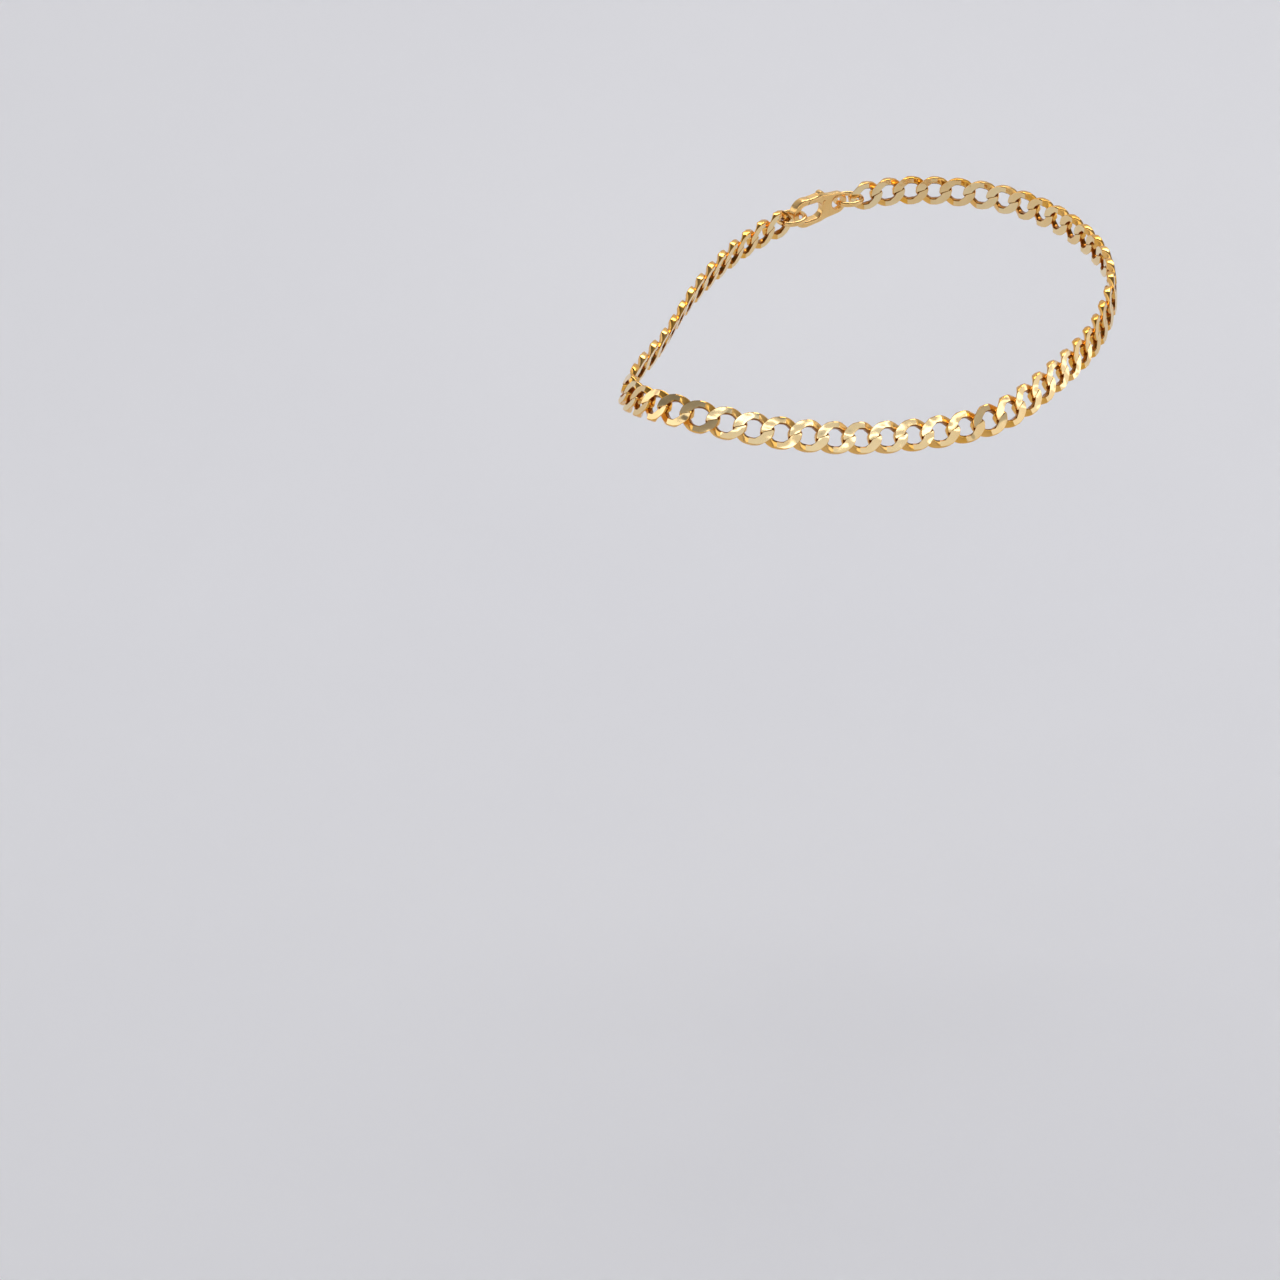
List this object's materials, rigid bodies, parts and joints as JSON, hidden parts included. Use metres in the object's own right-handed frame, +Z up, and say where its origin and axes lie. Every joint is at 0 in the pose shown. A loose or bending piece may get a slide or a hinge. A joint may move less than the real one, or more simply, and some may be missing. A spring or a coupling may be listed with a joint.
{
  "type": "curb chain anklet",
  "caption": "Flat curb-link chain anklet in polished yellow gold, worn as a closed loop round an ankle, with a lobster-claw clasp between jump rings.",
  "frame": {"origin": "middle of the loop, inside the ankle that the chain goes round", "axes": "+Z up the leg, -Y towards the chain's front, +X to the right seen from the front"},
  "size_m": [0.0828, 0.0814, 0.0293],
  "materials": {
    "chain_gold": "polished",
    "clasp_gold": "polished",
    "ring_gold": "polished"
  },
  "bodies": {
    "root": {"chain": "chain_gold", "clasp": "clasp_gold", "clasp_ring": "ring_gold", "end_ring": "ring_gold"}
  },
  "joints": []
}
